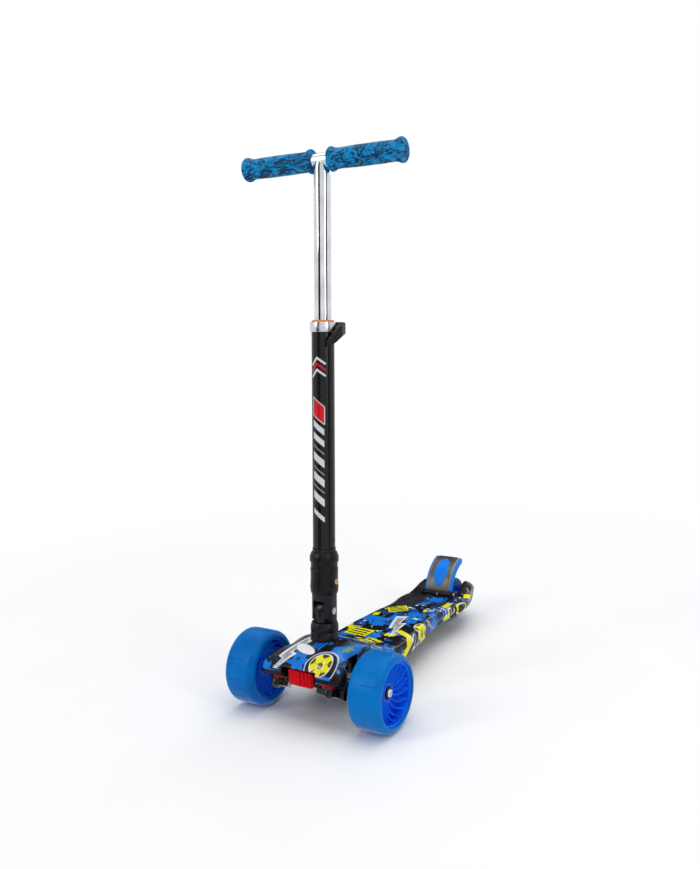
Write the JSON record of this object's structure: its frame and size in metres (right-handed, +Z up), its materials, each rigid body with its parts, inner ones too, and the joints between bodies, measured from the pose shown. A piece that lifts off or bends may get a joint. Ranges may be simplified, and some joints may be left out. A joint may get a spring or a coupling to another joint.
{
  "type": "kick scooter",
  "caption": "Folding lean-to-steer kick scooter with two wide front wheels, a height-adjustable T-bar, a printed deck and a rear foot brake.",
  "frame": {"origin": "on the ground, at the middle of the length and width", "axes": "+Z up along the stem's rise, front wheels towards -Y, +X to the rider's left"},
  "size_m": [0.282, 0.572, 0.8684],
  "materials": {
    "printed_shell": "graphic print under a gloss coat",
    "black_plastic": "satin moulded nylon",
    "black_metal": "satin black",
    "black_tube": "gloss black",
    "grip_pad": "matt with diagonal grooves",
    "steel": "bright zinc",
    "brass_screw": "plated",
    "orange_bush": "smooth",
    "collar_alloy": "polished",
    "chrome_tube": "mirror polished",
    "grip_rubber": "knurled, marbled blue and black",
    "red_link": "gloss",
    "core_plastic": "gloss",
    "tyre_blue": "cast polyurethane",
    "fender_blue": "satin",
    "brake_plate": "dark metallic",
    "brake_rubber": "matt"
  },
  "bodies": {
    "chassis": {"deck_shell": "printed_shell", "bottom_cover": "black_plastic", "front_frame": "black_plastic", "rear_fork": "black_plastic", "stem_socket": "black_metal", "lower_knuckle": "black_metal", "grip_pad": "grip_pad", "cover_screws": "steel", "kingpins": "steel", "kingpin_springs": "steel", "brake_pin": "steel", "brake_spring": "steel", "rear_axle": "steel", "rear_axle_nut": "steel", "rear_spacers": "steel"},
    "stem": {"outer_tube": "black_tube", "upper_knuckle": "black_metal", "knuckle_screws": "steel", "fold_pivot_bolt": "steel", "fold_pivot_nut": "steel", "guide_bush": "orange_bush", "clamp_collar": "collar_alloy", "clamp_bolt": "steel", "clamp_nut": "steel", "lever_dowel": "steel"},
    "fold_sleeve": {"fold_sleeve": "black_plastic", "sleeve_screw": "brass_screw", "lock_plunger": "steel", "lock_spring": "steel"},
    "handlebar": {"t_bar": "chrome_tube", "grip_left": "grip_rubber", "grip_right": "grip_rubber", "tube_plug": "black_plastic"},
    "clamp_lever": {"clamp_lever": "black_plastic"},
    "knuckle_left": {"knuckle_left": "black_plastic", "axle_left": "steel", "axle_nut_left": "steel", "link_pin_left": "steel"},
    "knuckle_right": {"knuckle_right": "black_plastic", "axle_right": "steel", "axle_nut_right": "steel", "link_pin_right": "steel"},
    "steering_link": {"steering_link": "red_link"},
    "front_wheel_left": {"wheel_core_left": "core_plastic", "tyre_left": "tyre_blue", "bearings_left": "steel", "bearing_spacer_left": "steel"},
    "front_wheel_right": {"wheel_core_right": "core_plastic", "tyre_right": "tyre_blue", "bearings_right": "steel", "bearing_spacer_right": "steel"},
    "rear_wheel": {"rear_wheel_core": "core_plastic", "rear_tyre": "tyre_blue", "rear_bearings": "steel"},
    "brake": {"brake_fender": "fender_blue", "brake_cover": "brake_plate", "brake_insert": "fender_blue", "brake_pad": "brake_rubber"}
  },
  "joints": [
    {"name": "stem_fold", "type": "hinge", "parent": "chassis", "child": "stem", "pos_m": [0, -0.19729, 0.16238], "axis": [-1, 0, 0], "range_deg": [0, 83]},
    {"name": "sleeve_slide", "type": "slide", "parent": "stem", "child": "fold_sleeve", "axis": [0, 0.0872, 0.9962], "range_m": [0, 0.0202]},
    {"name": "handlebar_height", "type": "slide", "parent": "stem", "child": "handlebar", "axis": [0, 0.0872, 0.9962], "range_m": [-0.2, 0]},
    {"name": "clamp_lever_swing", "type": "hinge", "parent": "stem", "child": "clamp_lever", "pos_m": [0.01001, -0.12842, 0.59854], "axis": [0, 0.0872, 0.9962], "range_deg": [0, 110]},
    {"name": "steer_left", "type": "hinge", "parent": "chassis", "child": "knuckle_left", "pos_m": [0.048, -0.231, 0.08], "axis": [0, 0.5, 0.866], "range_deg": [-12, 12], "stiffness_Nm_per_rad": 8},
    {"name": "steer_right", "type": "hinge", "parent": "chassis", "child": "knuckle_right", "pos_m": [-0.048, -0.231, 0.08], "axis": [0, 0.5, 0.866], "range_deg": [-12, 12], "stiffness_Nm_per_rad": 8},
    {"name": "link_pivot", "type": "hinge", "parent": "knuckle_left", "child": "steering_link", "pos_m": [0.048, -0.26428, 0.07035], "axis": [0, 0.5, 0.866], "range_deg": [-12, 12]},
    {"name": "front_wheel_left_spin", "type": "hinge", "parent": "knuckle_left", "child": "front_wheel_left", "pos_m": [0.113, -0.226, 0.06], "axis": [1, 0, 0], "continuous": true},
    {"name": "front_wheel_right_spin", "type": "hinge", "parent": "knuckle_right", "child": "front_wheel_right", "pos_m": [-0.113, -0.226, 0.06], "axis": [1, 0, 0], "continuous": true},
    {"name": "rear_wheel_spin", "type": "hinge", "parent": "chassis", "child": "rear_wheel", "pos_m": [0, 0.244, 0.04], "axis": [1, 0, 0], "continuous": true},
    {"name": "brake_press", "type": "hinge", "parent": "chassis", "child": "brake", "pos_m": [0, 0.202, 0.061], "axis": [-1, 0, 0], "range_deg": [0, 7], "stiffness_Nm_per_rad": 4}
  ],
  "couplings": [
    {"joint": "sleeve_slide", "follows": "stem_fold", "m_per_rad": 0.013806},
    {"joint": "steer_right", "follows": "steer_left", "ratio": 1},
    {"joint": "link_pivot", "follows": "steer_left", "ratio": -1}
  ]
}
